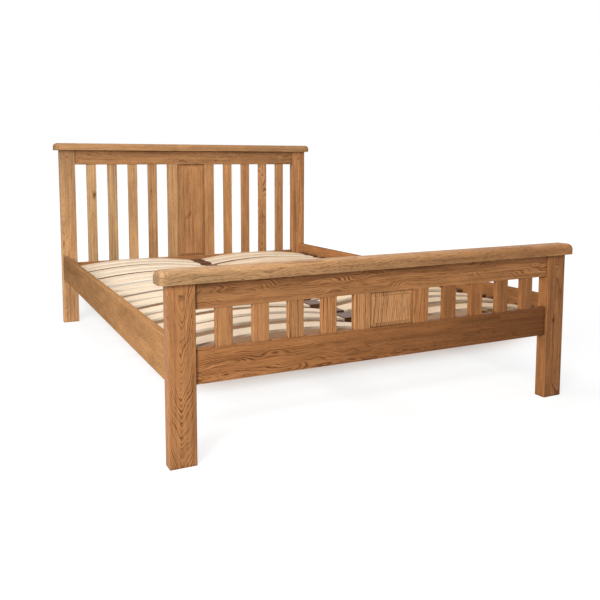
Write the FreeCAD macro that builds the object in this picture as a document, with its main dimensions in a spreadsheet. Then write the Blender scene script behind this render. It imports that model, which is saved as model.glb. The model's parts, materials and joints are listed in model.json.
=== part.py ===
import FreeCAD, Part
import os
import re
import Sketcher

# A slatted wooden bed for one standard mattress. +Z is up and +Y points from the footboard to the
# headboard. The origin lies on the floor under the middle of the whole bed. Lengths are millimetres.

# Driving dimensions
SIZES = {
    # Mattress space between the side rails and between the posts
    "mattress_width": 1500,
    "mattress_length": 2000,
    "mattress_side_gap": 5,
    "mattress_end_gap": 17.5,
    # Posts
    "post_width": 86,
    "post_depth": 45,
    "post_edge_radius": 3,
    "foot_post_height": 552,
    "head_post_height": 996,
    # Cap boards
    "cap_height": 40,
    "cap_edge_radius": 20,
    "foot_cap_end_overhang": 29,
    "foot_cap_face_overhang": 18,
    "head_cap_end_overhang": 29,
    "head_cap_face_overhang": 15,
    # Cross rails of the two boards and their tenons
    "rail_thickness": 22,
    "rail_setback": 9,
    "rail_edge_radius": 2,
    "top_rail_height": 82,
    "bottom_rail_height": 108,
    "foot_bottom_rail_lift": 244,
    "head_bottom_rail_lift": 238,
    "tenon_thickness": 10,
    "tenon_shoulder": 8,
    "tenon_cover": 4,
    "top_tenon_length": 58,
    "bottom_tenon_length": 45,
    # Square pegs through the top tenons
    "peg_width": 18,
    "peg_proud": 1,
    "peg_reach": 4,
    # Upright slats and their stub tenons
    "slat_width": 55,
    "slat_thickness": 17,
    "slat_edge_radius": 2,
    "stub_thickness": 9,
    "stub_length": 14,
    "stub_shoulder": 5,
    # Raised panel and its stiles
    "panel_opening": 176,
    "stile_width": 63,
    "stile_thickness": 19,
    "tongue_thickness": 6,
    "groove_depth": 9,
    "panel_play": 1,
    "bevel_rise": 2.2,
    "field_step": 4,
    # Side rails
    "side_rail_height": 138,
    "side_rail_thickness": 25,
    "side_rail_inset": 10,
    "side_rail_lift": 248,
    "side_rail_edge_radius": 3,
    # Bed bolts, their plate washers and nuts, and the half-round pockets for them
    "bolt_radius": 4,
    "bolt_lift": 69,
    "bolt_post_depth": 30,
    "bolt_seat": 40,
    "bolt_tail": 3,
    "pocket_radius": 20,
    "pocket_wall": 4,
    "washer_thickness": 3,
    "washer_width": 26,
    "washer_height": 17,
    "nut_across_flats": 13,
    "nut_height": 6.5,
    # Wooden dowels
    "dowel_radius": 5,
    "dowel_half": 20,
    "low_dowel_lift": 30,
    "high_dowel_lift": 108,
    # Ledgers and screws
    "ledger_width": 34,
    "ledger_height": 40,
    "ledger_lift": 22,
    "ledger_end_gap": 62,
    "screw_radius": 2.2,
    "screw_head_radius": 4.5,
    "screw_head_height": 2.5,
    "screw_bite": 16,
    # Bowed slats
    "bow_width": 74,
    "bow_thickness": 8,
    "bow_crown": 32,
    "bow_pitch": 117,
    "bow_foot_gap": 65,
    "bow_head_gap": 47,
    # Plastic slat holders
    "holder_depth": 30,
    "holder_back": 6,
    "holder_wall": 4,
    "holder_floor": 6,
    "holder_roof": 3,
    "holder_peg_radius": 4,
    "holder_peg_length": 10,
    "centre_holder_width": 68,
    "tip_gap": 0.5,
    # Centre rail and its steel hangers
    "centre_rail_width": 70,
    "centre_rail_height": 45,
    "hanger_thickness": 2.5,
    "hanger_depth": 40,
    "hanger_height": 34,
    "hanger_flange": 26,
    "hanger_screw_edge": 8,
    # Centre leg, its stud and its levelling foot
    "leg_width": 45,
    "leg_edge_radius": 3,
    "leg_stud_half": 28,
    "foot_pad_radius": 17,
    "foot_pad_height": 8,
    "foot_floor_gap": 0.5,
    "foot_travel": 12,
    "foot_spare": 4,
    "foot_shank_radius": 5,
    "foot_shank_hold": 30,
    # Clearances: round a fitted piece, past its end, and past a face that a cut starts from
    "fit_gap": 0.2,
    "end_gap": 1,
    "overrun": 2,
}

SLATS_PER_SIDE = 4
BOW_ROWS = 8
LEDGER_SCREWS = 6
CAP_DOWEL_SHARES = (-0.5, 0, 0.5)
BEVEL_SHARE = 0.12

# Places worked out from the sizes
PLACES = {
    "rail_inner_x": "mattress_width / 2 + mattress_side_gap",
    "rail_outer_x": "rail_inner_x + side_rail_thickness",
    "rail_mid_x": "rail_inner_x + side_rail_thickness / 2",
    "post_outer_x": "rail_outer_x + side_rail_inset",
    "post_inner_x": "post_outer_x - post_width",
    "side_rail_length": "mattress_length + 2 * mattress_end_gap",
    "post_span": "2 * post_depth + side_rail_length",
    "foot_face_y": "(foot_cap_face_overhang - post_span - head_cap_face_overhang) / 2",
    "foot_back_y": "foot_face_y + post_depth",
    "head_face_y": "foot_back_y + side_rail_length",
    "foot_mid_y": "foot_face_y + rail_setback + rail_thickness / 2",
    "head_mid_y": "head_face_y + rail_setback + rail_thickness / 2",
    "foot_top_rail_z": "foot_post_height - top_rail_height",
    "head_top_rail_z": "head_post_height - top_rail_height",
    "foot_window_z": "foot_bottom_rail_lift + bottom_rail_height",
    "head_window_z": "head_bottom_rail_lift + bottom_rail_height",
    "bevel_width": f"{BEVEL_SHARE} * (foot_top_rail_z - foot_window_z)",
    "top_tenon_drop": "dowel_half + end_gap + tenon_cover",
    "stile_inner_x": "panel_opening / 2",
    "stile_outer_x": "stile_inner_x + stile_width",
    "stub_inner_x": "stile_inner_x + groove_depth + stub_shoulder",
    "slat_run": "post_inner_x - stile_outer_x",
    "slat_gap": f"(slat_run - {SLATS_PER_SIDE} * slat_width) / {SLATS_PER_SIDE + 1}",
    "tongue_reach": "groove_depth - panel_play",
    "bolt_z": "side_rail_lift + bolt_lift",
    "pocket_depth": "side_rail_thickness - pocket_wall",
    "bolt_length": "bolt_post_depth + bolt_seat + washer_thickness + nut_height + bolt_tail",
    "ledger_z": "side_rail_lift + ledger_lift",
    "ledger_top_z": "ledger_z + ledger_height",
    "ledger_inner_x": "rail_inner_x - ledger_width",
    "ledger_start_y": "foot_back_y + ledger_end_gap",
    "ledger_length": "side_rail_length - 2 * ledger_end_gap",
    "bow_start_y": "foot_back_y + bow_foot_gap",
    "bow_run": "side_rail_length - bow_foot_gap - bow_head_gap - bow_width",
    "row_pitch": f"bow_run / {BOW_ROWS - 1}",
    "mouth_depth": "holder_depth - holder_back",
    "bow_outer_x": "rail_inner_x - holder_back - tip_gap",
    "bow_inner_x": "centre_holder_width / 2 - mouth_depth + tip_gap",
    "bow_chord": "bow_outer_x - bow_inner_x",
    "bow_mid_x": "(bow_outer_x + bow_inner_x) / 2",
    "bow_radius": "bow_chord * bow_chord / (8 * bow_crown) + bow_crown / 2",
    "bow_tip_z": "ledger_top_z + holder_floor + fit_gap",
    "mouth_share": "mouth_depth / bow_chord",
    "mouth_rise": "4 * bow_crown * mouth_share * (1 - mouth_share)",
    "mouth_height": "bow_thickness + mouth_rise + 3 * fit_gap",
    "holder_height": "holder_floor + mouth_height + holder_roof",
    "centre_rail_z": "ledger_top_z - centre_rail_height",
    "centre_start_y": "foot_mid_y + rail_thickness / 2",
    "centre_end_y": "head_mid_y - rail_thickness / 2",
    "centre_mid_y": "(centre_start_y + centre_end_y) / 2",
    "hanger_inner_x": "centre_rail_width / 2 + fit_gap",
    "hanger_outer_x": "hanger_inner_x + hanger_thickness",
    "flange_outer_x": "hanger_inner_x + hanger_flange",
    "hanger_z": "centre_rail_z - hanger_thickness",
    "hanger_screw_x": "(hanger_outer_x + flange_outer_x) / 2",
    "leg_z": "foot_floor_gap + foot_pad_height + foot_travel + foot_spare",
    "leg_height": "centre_rail_z - leg_z",
    "shank_top_z": "leg_z + foot_shank_hold",
}

SIDES = ("left", "right")
BOARDS = {"foot": "footboard", "head": "headboard"}
AXES = {
    "x": FreeCAD.Vector(1, 0, 0),
    "y": FreeCAD.Vector(0, 1, 0),
    "z": FreeCAD.Vector(0, 0, 1),
}
SAME = 1e-6

doc = FreeCAD.newDocument("slatted_bed")
subparts = []


# Formulas on the sheets

def cells(formula, home=""):
    """Point each size or place named in a formula at its cell."""
    def cell(match):
        word = match.group()
        for sheet, names in (("Sizes", SIZES), ("Places", PLACES)):
            if word in names and sheet != home:
                return f"{sheet}.{word}"
        return word
    return re.sub("[a-z_]+", cell, formula)


def fill_sheet(name, rows):
    """One named cell for each row."""
    sheet = doc.addObject("Spreadsheet::Sheet", name)
    for number, (alias, text) in enumerate(rows.items(), start=1):
        sheet.set(f"A{number}", text)
        sheet.setAlias(f"A{number}", alias)
    doc.recompute()


def bind(thing, formulas):
    """Tie properties of an object to the sheets."""
    for prop, formula in formulas.items():
        thing.setExpression(prop, cells(formula))


def place(thing, x, y, z):
    """Tie an object's place to the sheets."""
    bind(thing, {"Placement.Base.x": x, "Placement.Base.y": y, "Placement.Base.z": z})
    return thing


def keep(name, thing):
    """Name a finished sub-part."""
    thing.Label = name
    subparts.append(thing)


# Plain shapes

def block(x, y, z, length, width, height):
    """A block, from its low corner."""
    box = doc.addObject("Part::Box", "Block")
    bind(box, {"Length": length, "Width": width, "Height": height})
    return place(box, x, y, z)


def stretch(side, near, far):
    """Low end and length of a stretch that runs from near to far of the centre plane."""
    low = near if side == "right" else f"-({far})"
    return low, f"({far}) - ({near})"


def side_block(side, near, far, y, z, width, height):
    """A block on one side of the centre plane."""
    low, length = stretch(side, near, far)
    return block(low, y, z, length, width, height)


def rod(axis, x, y, z, radius, length):
    """A round bar that starts at a point and runs along an axis."""
    bar = doc.addObject("Part::Cylinder", "Rod")
    bar.Placement.Rotation = FreeCAD.Rotation(AXES["z"], AXES[axis])
    bind(bar, {"Radius": radius, "Height": length})
    return place(bar, x, y, z)


def side_rod(side, near, far, y, z, radius):
    """A round bar across the bed, on one side of the centre plane."""
    low, length = stretch(side, near, far)
    return rod("x", low, y, z, radius, length)


def joined(pieces):
    """One solid from pieces that meet."""
    union = doc.addObject("Part::MultiFuse", "Joined")
    union.Shapes = pieces
    return union


def carved(base, tools):
    """A piece with cuts taken out of it."""
    cut = doc.addObject("Part::Cut", "Carved")
    cut.Base = base
    cut.Tool = joined(tools) if len(tools) > 1 else tools[0]
    return cut


def shared(first, second):
    """What two shapes have in common."""
    common = doc.addObject("Part::Common", "Shared")
    common.Base = first
    common.Tool = second
    return common


def grouped(pieces):
    """Separate solids in one node."""
    compound = doc.addObject("Part::Compound", "Group")
    compound.Links = pieces
    return compound


# Boards with eased edges

def rectangle(body, length, width):
    """A sketched rectangle with one corner at the body's origin."""
    sketch = body.newObject("Sketcher::SketchObject", "Outline")
    plane = next(item for item in body.Origin.OriginFeatures if item.Role == "XY_Plane")
    sketch.AttachmentSupport = [(plane, "")]
    sketch.MapMode = "FlatFace"
    corners = [FreeCAD.Vector(x, y) for x, y in ((0, 0), (1, 0), (1, 1), (0, 1))]
    for start, end in zip(corners, corners[1:] + corners[:1]):
        sketch.addGeometry(Part.LineSegment(start, end), False)
    for line in range(len(corners)):
        sketch.addConstraint(Sketcher.Constraint("Coincident", line, 2, (line + 1) % len(corners), 1))
        sketch.addConstraint(Sketcher.Constraint("Vertical" if line % 2 else "Horizontal", line))
    sketch.addConstraint(Sketcher.Constraint("Coincident", 0, 1, -1, 1))
    for name, kind, line in (("length", "DistanceX", 0), ("width", "DistanceY", 1)):
        index = sketch.addConstraint(Sketcher.Constraint(kind, line, 1, line, 2, 1))
        sketch.renameConstraint(index, name)
    bind(sketch, {"Constraints.length": length, "Constraints.width": width})
    return sketch


def along(axis):
    """Picks the edges that run along an axis."""
    def runs(edge):
        direction = edge.tangentAt(edge.FirstParameter)
        return abs(direction.dot(AXES[axis])) > 1 - SAME
    return runs


def off_base(edge):
    """Picks the edges that don't lie in the base."""
    return edge.CenterOfMass.z > SAME


def plank(x, y, z, length, width, height, radius, picks):
    """A board, from its low corner, with the picked edges rounded."""
    body = doc.addObject("PartDesign::Body", "Plank")
    pad = body.newObject("PartDesign::Pad", "Board")
    pad.Profile = rectangle(body, length, width)
    bind(pad, {"Length": height})
    doc.recompute()
    ease = body.newObject("PartDesign::Fillet", "Eased")
    names = [f"Edge{number}" for number, edge in enumerate(pad.Shape.Edges, start=1) if picks(edge)]
    ease.Base = (pad, names)
    bind(ease, {"Radius": radius})
    return place(body, x, y, z)


# Footboard and headboard

def slat_near(number):
    """Distance of an upright slat's near edge from the centre plane, counted from the post."""
    return f"post_inner_x - {number} * (slat_width + slat_gap)"


def top_peg_z(board):
    """Height of the peg's underside, with the peg at the middle of the top rail."""
    return f"{board}_top_rail_z + (top_rail_height - peg_width) / 2"


def peg_block(board, side, gap, start):
    """The square peg, or with a gap the hole that takes it."""
    near = f"post_inner_x + (post_width - peg_width) / 2 - {gap}"
    far = f"post_inner_x + (post_width + peg_width) / 2 + {gap}"
    length = f"{board}_mid_y + tenon_thickness / 2 + peg_reach - {board}_face_y + {start}"
    wide = f"peg_width + 2 * {gap}"
    low = f"{top_peg_z(board)} - {gap}"
    return side_block(side, near, far, f"{board}_face_y - {start}", low, length, wide)


def rail_tenon(board, side, level, gap, start, end):
    """A rail's tenon, or with gaps the mortise that takes it. It runs from the post's inner face."""
    near = f"post_inner_x - {start}"
    far = f"post_inner_x + {level}_tenon_length + {end}"
    low = {
        "top": f"{board}_top_rail_z + tenon_shoulder",
        "bottom": f"{board}_bottom_rail_lift + tenon_shoulder",
    }[level]
    high = {
        "top": f"{board}_post_height - top_tenon_drop",
        "bottom": f"{board}_window_z - tenon_shoulder",
    }[level]
    y = f"{board}_mid_y - tenon_thickness / 2 - {gap}"
    wide = f"tenon_thickness + 2 * {gap}"
    return side_block(side, near, far, y, f"{low} - {gap}", wide, f"{high} - ({low}) + 2 * {gap}")


def joint_rod(board, side, radius, post_depth, rail_depth, lift):
    """A bar across the joint of a post and a side rail."""
    start = f"foot_back_y - ({post_depth})" if board == "foot" else f"head_face_y - ({rail_depth})"
    x = "rail_mid_x" if side == "right" else "-rail_mid_x"
    return rod("y", x, start, f"side_rail_lift + {lift}", radius, f"{post_depth} + {rail_depth}")


def joint_holes(board, side):
    """Holes for the bolt and the dowels where a side rail meets a post."""
    holes = [joint_rod(board, side, "bolt_radius + fit_gap", "bolt_post_depth + end_gap",
                       "bolt_seat + overrun", "bolt_lift")]
    for lift in ("low_dowel_lift", "high_dowel_lift"):
        deep = "dowel_half + end_gap"
        holes.append(joint_rod(board, side, "dowel_radius + fit_gap", deep, deep, lift))
    return holes


def cap_dowel_places(board):
    """Places along a board where dowels hold its cap."""
    mid_post = f"{board}_face_y + post_depth / 2"
    places = [(f"{sign}(post_inner_x + post_width / 2)", mid_post) for sign in ("-", "")]
    return places + [(f"{share} * post_inner_x", f"{board}_mid_y") for share in CAP_DOWEL_SHARES]


def cap_dowel_rods(board, gap, end):
    """The cap's dowels, or with gaps the holes that take them."""
    low = f"{board}_post_height - dowel_half - {end}"
    return [rod("z", x, y, low, f"dowel_radius + {gap}", f"2 * (dowel_half + {end})")
            for x, y in cap_dowel_places(board)]


def make_post(board, side):
    """A post with mortises, and with holes for the peg, the dowels and the bed bolt."""
    low, length = stretch(side, "post_inner_x", "post_outer_x")
    post = plank(low, f"{board}_face_y", "0", length, "post_depth", f"{board}_post_height",
                 "post_edge_radius", along("z"))
    cuts = [rail_tenon(board, side, level, "fit_gap", "overrun", "end_gap") for level in ("top", "bottom")]
    cuts.append(peg_block(board, side, "fit_gap", "overrun"))
    cuts += cap_dowel_rods(board, "fit_gap", "end_gap")
    cuts += joint_holes(board, side)
    keep(f"{BOARDS[board]}_post_{side}", carved(post, cuts))


def stub_stretches():
    """Near and far edge of each stub tenon, with its side, across a board."""
    for side in SIDES:
        for number in range(1, SLATS_PER_SIDE + 1):
            near = slat_near(number)
            yield side, f"{near} + stub_shoulder", f"{near} + slat_width - stub_shoulder"
        yield side, "stub_inner_x", "stile_outer_x - stub_shoulder"


def stub(board, side, near, far, level, gap, start, end):
    """A stub tenon in a rail, or with gaps the mortise that takes it."""
    low = {
        "top": f"{board}_top_rail_z - {start}",
        "bottom": f"{board}_window_z - stub_length - {end}",
    }[level]
    y = f"{board}_mid_y - stub_thickness / 2 - {gap}"
    wide = f"stub_thickness + 2 * {gap}"
    tall = f"stub_length + {start} + {end}"
    return side_block(side, f"{near} - {gap}", f"{far} + {gap}", y, low, wide, tall)


def panel_groove(board, level):
    """The groove in a rail that takes the panel's tongue."""
    low = {"top": f"{board}_top_rail_z - overrun", "bottom": f"{board}_window_z - groove_depth"}[level]
    half = "(stile_inner_x + groove_depth)"
    y = f"{board}_mid_y - tongue_thickness / 2 - fit_gap"
    return block(f"-{half}", y, low, f"2 * {half}", "tongue_thickness + 2 * fit_gap",
                 "groove_depth + overrun")


def make_rail(board, level):
    """A cross rail with its tenons, the mortises for the slats and the panel's groove."""
    low = {"top": f"{board}_top_rail_z", "bottom": f"{board}_bottom_rail_lift"}[level]
    y = f"{board}_mid_y - rail_thickness / 2"
    board_rail = plank("-post_inner_x", y, low, "2 * post_inner_x", "rail_thickness",
                       f"{level}_rail_height", "rail_edge_radius", along("x"))
    tenons = [rail_tenon(board, side, level, "0", "overrun", "0") for side in SIDES]
    cuts = [stub(board, side, near, far, level, "fit_gap", "overrun", "end_gap")
            for side, near, far in stub_stretches()]
    cuts.append(panel_groove(board, level))
    if level == "top":
        cuts += [peg_block(board, side, "fit_gap", "overrun") for side in SIDES]
        cuts += cap_dowel_rods(board, "fit_gap", "end_gap")
    else:
        cuts += [rod("y", x, y, z, "screw_radius + fit_gap", "2 * (screw_bite + end_gap)")
                 for x, y, z in hanger_screw_places(board)]
    keep(f"{BOARDS[board]}_{level}_rail", carved(joined([board_rail] + tenons), cuts))


def make_cap(board):
    """The cap board, rounded at its ends and along its top edges."""
    half = f"(post_outer_x + {board}_cap_end_overhang)"
    wide = f"post_depth + 2 * {board}_cap_face_overhang"
    y = f"{board}_face_y - {board}_cap_face_overhang"
    cap = plank(f"-{half}", y, f"{board}_post_height", f"2 * {half}", wide, "cap_height",
                "cap_edge_radius", off_base)
    keep(f"{BOARDS[board]}_cap", carved(cap, cap_dowel_rods(board, "fit_gap", "end_gap")))


def upright(board, side, near, far, thickness, tongue_near, tongue_far):
    """An upright between the two rails, with a stub tenon at each end."""
    low, length = stretch(side, near, far)
    y = f"{board}_mid_y - {thickness} / 2"
    tall = f"{board}_top_rail_z - {board}_window_z"
    board_slat = plank(low, y, f"{board}_window_z", length, thickness, tall, "slat_edge_radius", along("z"))
    stubs = [stub(board, side, tongue_near, tongue_far, level, "0", "overrun", "0")
             for level in ("top", "bottom")]
    return joined([board_slat] + stubs)


def make_slats(board, side):
    """The upright slats on one side of the panel, counted from the post."""
    for number in range(1, SLATS_PER_SIDE + 1):
        near = slat_near(number)
        far = f"{near} + slat_width"
        slat = upright(board, side, near, far, "slat_thickness",
                       f"{near} + stub_shoulder", f"{far} - stub_shoulder")
        keep(f"{BOARDS[board]}_slat_{side}_{number}", slat)


def make_stile(board, side):
    """A stile beside the panel, grooved for the panel's tongue."""
    stile = upright(board, side, "stile_inner_x", "stile_outer_x", "stile_thickness",
                    "stub_inner_x", "stile_outer_x - stub_shoulder")
    tall = f"{board}_top_rail_z - {board}_window_z"
    groove = side_block(side, "stile_inner_x - overrun", "stile_inner_x + groove_depth",
                        f"{board}_mid_y - tongue_thickness / 2 - fit_gap", f"{board}_window_z",
                        "tongue_thickness + 2 * fit_gap", tall)
    keep(f"{BOARDS[board]}_panel_stile_{side}", carved(stile, [groove]))


def make_panel(board):
    """The raised panel: a tongue all round, a bevel, and a field that stands a step above it."""
    tongue_half = "(stile_inner_x + tongue_reach)"
    back_y = f"{board}_mid_y - tongue_thickness / 2"
    tongue = block(f"-{tongue_half}", back_y, f"{board}_window_z - tongue_reach", f"2 * {tongue_half}",
                   "tongue_thickness", f"{board}_top_rail_z - {board}_window_z + 2 * tongue_reach")
    half = "(stile_inner_x - fit_gap)"
    field_half = f"({half} - bevel_width)"
    low = f"{board}_window_z + fit_gap"
    high = f"{board}_top_rail_z - fit_gap"
    bevel = doc.addObject("Part::Wedge", "Bevel")
    bind(bevel, {
        "Xmin": f"-{field_half}", "Xmax": field_half,
        "Zmin": f"{low} + bevel_width", "Zmax": f"{high} - bevel_width",
        "X2min": f"-{half}", "X2max": half, "Z2min": low, "Z2max": high,
        "Ymin": f"{back_y} - bevel_rise", "Ymax": back_y,
    })
    field = block(f"-{field_half}", f"{back_y} - bevel_rise - field_step", f"{low} + bevel_width",
                  f"2 * {field_half}", "bevel_rise + field_step", f"{high} - ({low}) - 2 * bevel_width")
    keep(f"{BOARDS[board]}_panel", joined([tongue, bevel, field]))


# Side rails and what joins them to the posts

def bolt_pocket(board, side):
    """The half-round pocket inside a side rail, where the washer and nut sit."""
    near = "rail_inner_x - overrun"
    far = "rail_inner_x + pocket_depth"
    seat = {"foot": "foot_back_y + bolt_seat", "head": "head_face_y - bolt_seat"}[board]
    start = {"foot": seat, "head": f"{seat} - pocket_radius - overrun"}[board]
    round_part = side_rod(side, near, far, seat, "bolt_z", "pocket_radius")
    half = side_block(side, near, far, start, "bolt_z - pocket_radius - overrun",
                      "pocket_radius + overrun", "2 * (pocket_radius + overrun)")
    return shared(round_part, half)


def ledger_screw_ys():
    """Places of the ledger's screws along the bed."""
    return [f"ledger_start_y + {2 * number + 1} * ledger_length / {2 * LEDGER_SCREWS}"
            for number in range(LEDGER_SCREWS)]


def ledger_screw_hole(side, y):
    """The hole for a screw through a ledger into its side rail."""
    return side_rod(side, "ledger_inner_x - overrun", "rail_inner_x + screw_bite + end_gap", y,
                    "ledger_z + ledger_height / 2", "screw_radius + fit_gap")


def make_side_rail(side):
    """A side rail, drilled at both ends and pocketed on its inner face."""
    low, length = stretch(side, "rail_inner_x", "rail_outer_x")
    rail = plank(low, "foot_back_y", "side_rail_lift", length, "side_rail_length", "side_rail_height",
                 "side_rail_edge_radius", along("y"))
    cuts = []
    for board in BOARDS:
        cuts += joint_holes(board, side) + [bolt_pocket(board, side)]
    cuts += [ledger_screw_hole(side, y) for y in ledger_screw_ys()]
    keep(f"side_rail_{side}", carved(rail, cuts))


def joint_corners():
    """Each place where a side rail meets a post."""
    return [(board, side) for board in BOARDS for side in SIDES]


def beyond_seat(board, offset, depth):
    """Low end of a piece that lies past the bolt's seat, away from the post."""
    if board == "foot":
        return f"foot_back_y + bolt_seat + {offset}"
    return f"head_face_y - bolt_seat - {offset} - {depth}"


def make_joint_hardware():
    """Bed bolts with their washers and nuts, and the dowels beside them."""
    bolts, washers, nuts, dowels = [], [], [], []
    for board, side in joint_corners():
        sign = "" if side == "right" else "-"
        bolts.append(joint_rod(board, side, "bolt_radius", "bolt_post_depth",
                               "bolt_length - bolt_post_depth", "bolt_lift"))
        hole = joint_rod(board, side, "bolt_radius + fit_gap", "0", "bolt_length", "bolt_lift")
        seat_y = beyond_seat(board, "0", "washer_thickness")
        plate = side_block(side, "rail_mid_x - washer_height / 2", "rail_mid_x + washer_height / 2", seat_y,
                           "bolt_z - washer_width / 2", "washer_thickness", "washer_width")
        washers.append(carved(plate, [hole]))
        prism = doc.addObject("Part::Prism", "Hexagon")
        prism.Polygon = 6
        prism.Placement.Rotation = FreeCAD.Rotation(AXES["z"], AXES["y"])
        bind(prism, {"Circumradius": "nut_across_flats / sqrt(3)", "Height": "nut_height"})
        place(prism, f"{sign}rail_mid_x", beyond_seat(board, "washer_thickness", "nut_height"), "bolt_z")
        nuts.append(carved(prism, [hole]))
        for lift in ("low_dowel_lift", "high_dowel_lift"):
            dowels.append(joint_rod(board, side, "dowel_radius", "dowel_half", "dowel_half", lift))
    keep("bed_bolts", grouped(bolts))
    keep("bed_bolt_washers", grouped(washers))
    keep("bed_bolt_nuts", grouped(nuts))
    keep("side_rail_dowels", grouped(dowels))


# Slat base

def slat_ys(number):
    """Front edges of a row's slats: one slat in the row at the foot, and a pair in each other row."""
    last = f"bow_start_y + {number} * row_pitch"
    return [last] if number == 0 else [f"{last} - bow_pitch", last]


def all_slat_ys():
    """Front edges of all the slats in a column."""
    return [y for number in range(BOW_ROWS) for y in slat_ys(number)]


def holder_peg(x, y, gap, end):
    """A holder's peg, or with gaps the hole that takes it."""
    return rod("z", x, f"{y} + bow_width / 2", f"ledger_top_z - holder_peg_length - {end}",
               f"holder_peg_radius + {gap}", f"holder_peg_length + {end} + holder_floor / 2")


def outer_peg_x(side):
    """Place of the holders' pegs across the bed, along a ledger."""
    return ("" if side == "right" else "-") + "(rail_inner_x - holder_depth / 2)"


def make_ledger(side):
    """A ledger along a side rail, with holes for the holders' pegs and for its screws."""
    ledger = side_block(side, "ledger_inner_x", "rail_inner_x", "ledger_start_y", "ledger_z",
                        "ledger_length", "ledger_height")
    cuts = [holder_peg(outer_peg_x(side), y, "fit_gap", "end_gap") for y in all_slat_ys()]
    cuts += [ledger_screw_hole(side, y) for y in ledger_screw_ys()]
    keep(f"slat_ledger_{side}", carved(ledger, cuts))


def make_ledger_screws():
    """Screws that hold both ledgers to the side rails."""
    screws = []
    z = "ledger_z + ledger_height / 2"
    for side in SIDES:
        for y in ledger_screw_ys():
            head = side_rod(side, "ledger_inner_x - screw_head_height", "ledger_inner_x", y, z,
                            "screw_head_radius")
            shank = side_rod(side, "ledger_inner_x - screw_head_height / 2", "rail_inner_x + screw_bite",
                             y, z, "screw_radius")
            screws.append(joined([head, shank]))
    keep("ledger_screws", grouped(screws))


def slat_holder(number, low, length, mouths, peg_x):
    """A plastic holder for a row's slats: a floor, and a capped socket and a peg for each slat."""
    wide = "bow_width + 2 * holder_wall"
    ys = slat_ys(number)
    solids = [block(low, f"{ys[0]} - holder_wall", "ledger_top_z", length,
                    f"{len(ys) - 1} * bow_pitch + {wide}", "holder_floor")]
    cuts = []
    for y in ys:
        solids.append(block(low, f"{y} - holder_wall", "ledger_top_z", length, wide, "holder_height"))
        solids.append(holder_peg(peg_x, y, "0", "0"))
        for mouth_low, mouth_length in mouths:
            cuts.append(block(mouth_low, f"{y} - fit_gap", "ledger_top_z + holder_floor", mouth_length,
                              "bow_width + 2 * fit_gap", "mouth_height"))
    return carved(joined(solids), cuts)


def make_outer_holders(side):
    """The holders along one ledger, open towards the middle of the bed."""
    low, length = stretch(side, "rail_inner_x - holder_depth", "rail_inner_x")
    mouth = stretch(side, "rail_inner_x - holder_depth - overrun", "rail_inner_x - holder_back")
    holders = [slat_holder(number, low, length, [mouth], outer_peg_x(side)) for number in range(BOW_ROWS)]
    keep(f"outer_slat_holders_{side}", grouped(holders))


def make_centre_holders():
    """The holders along the centre rail, open to both sides."""
    half = "centre_holder_width / 2"
    mouths = [stretch(side, f"{half} - mouth_depth", f"{half} + overrun") for side in SIDES]
    holders = [slat_holder(number, f"-{half}", "centre_holder_width", mouths, "0")
               for number in range(BOW_ROWS)]
    keep("centre_slat_holders", grouped(holders))


def bowed_slat(side, y):
    """A slat bent to a shallow arc, its tips in an outer and a centre holder."""
    x = "bow_mid_x" if side == "right" else "-bow_mid_x"
    centre_z = "bow_tip_z + bow_crown - bow_radius"
    outer = rod("y", x, y, centre_z, "bow_radius + bow_thickness", "bow_width")
    inner = rod("y", x, f"{y} - overrun", centre_z, "bow_radius", "bow_width + 2 * overrun")
    blank = side_block(side, "bow_inner_x", "bow_outer_x", y, "bow_tip_z - overrun", "bow_width",
                       "bow_crown + bow_thickness + 2 * overrun")
    return shared(carved(outer, [inner]), blank)


def make_bowed_slats(number):
    """One row of slats, the same in both columns."""
    slats = [bowed_slat(side, y) for side in SIDES for y in slat_ys(number)]
    keep(f"sprung_slats_row_{number + 1}", grouped(slats))


# Centre rail, its hangers and its leg

def hanger_screw_places(board):
    """Start of each screw through a hanger into a bottom rail."""
    face = {"foot": "centre_start_y", "head": "centre_end_y"}[board]
    start = f"{face} - screw_bite - end_gap"
    heights = ("hanger_z + hanger_screw_edge", "hanger_z + hanger_height - hanger_screw_edge")
    return [(f"{sign}hanger_screw_x", start, z) for sign in ("-", "") for z in heights]


def from_board(board, offset, depth):
    """Low end of a piece that stands off a bottom rail, towards the middle of the bed."""
    if board == "foot":
        return f"centre_start_y + {offset}"
    return f"centre_end_y - ({offset}) - ({depth})"


def make_hangers():
    """Steel hangers that carry the ends of the centre rail, and their screws."""
    hangers, screws = [], []
    seat_half = "hanger_outer_x"
    for board in BOARDS:
        y = from_board(board, "0", "hanger_depth")
        plates = [block(f"-{seat_half}", y, "hanger_z", f"2 * {seat_half}", "hanger_depth",
                        "hanger_thickness")]
        for side in SIDES:
            plates.append(side_block(side, "hanger_inner_x", "hanger_outer_x", y, "hanger_z",
                                     "hanger_depth", "hanger_height"))
            plates.append(side_block(side, "hanger_inner_x", "flange_outer_x",
                                     from_board(board, "0", "hanger_thickness"), "hanger_z",
                                     "hanger_thickness", "hanger_height"))
        holes = [rod("y", x, y, z, "screw_radius + fit_gap", "2 * (screw_bite + end_gap)")
                 for x, y, z in hanger_screw_places(board)]
        hangers.append(carved(joined(plates), holes))
        for x, _, z in hanger_screw_places(board):
            head_y = from_board(board, "hanger_thickness", "screw_head_height")
            head = rod("y", x, head_y, z, "screw_head_radius", "screw_head_height")
            length = "screw_bite + hanger_thickness + screw_head_height / 2"
            shank = rod("y", x, from_board(board, "-screw_bite", length), z, "screw_radius", length)
            screws.append(joined([head, shank]))
    keep("centre_rail_hangers", grouped(hangers))
    keep("hanger_screws", grouped(screws))


def leg_stud(gap, end):
    """The stud between leg and centre rail, or with gaps the hole that takes it."""
    return rod("z", "0", "centre_mid_y", f"centre_rail_z - leg_stud_half - {end}", f"bolt_radius + {gap}",
               f"2 * (leg_stud_half + {end})")


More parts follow.
